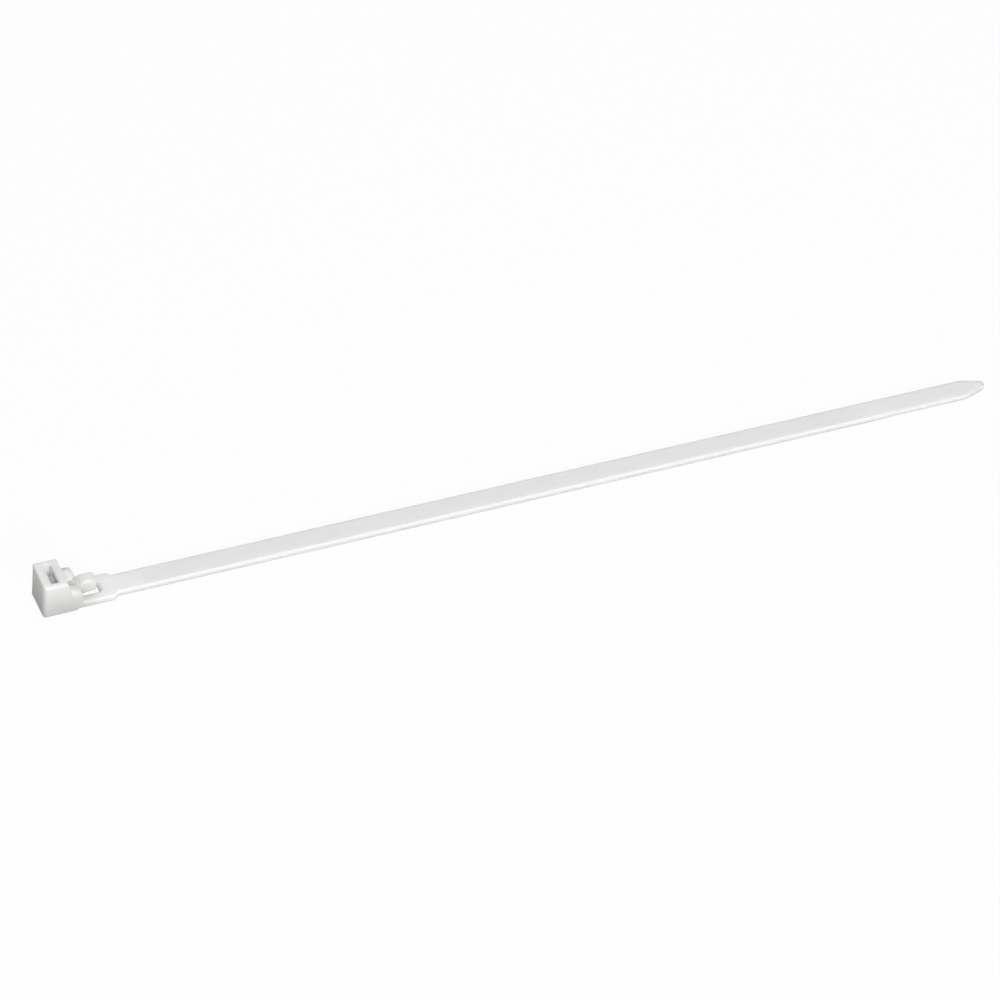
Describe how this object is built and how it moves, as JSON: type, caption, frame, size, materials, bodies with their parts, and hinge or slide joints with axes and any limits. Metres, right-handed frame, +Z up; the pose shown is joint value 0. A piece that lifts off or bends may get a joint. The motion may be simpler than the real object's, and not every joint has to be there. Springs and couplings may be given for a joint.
{
  "type": "cable tie",
  "caption": "Releasable nylon cable tie moulded in one piece, with a toothed strap, a slotted head, a hinged pawl and a finger lever that lets the strap go.",
  "frame": {"origin": "under the middle of the tie's length and width, on the surface that it lies on", "axes": "+X from the head to the tip, +Y across the strap, +Z up, out of the head's top"},
  "size_m": [0.2, 0.0072, 0.0073],
  "materials": {
    "natural_nylon": "natural white nylon, slightly translucent, satin from the mould"
  },
  "bodies": {
    "root": {"cable_tie": "natural_nylon"}
  },
  "joints": []
}
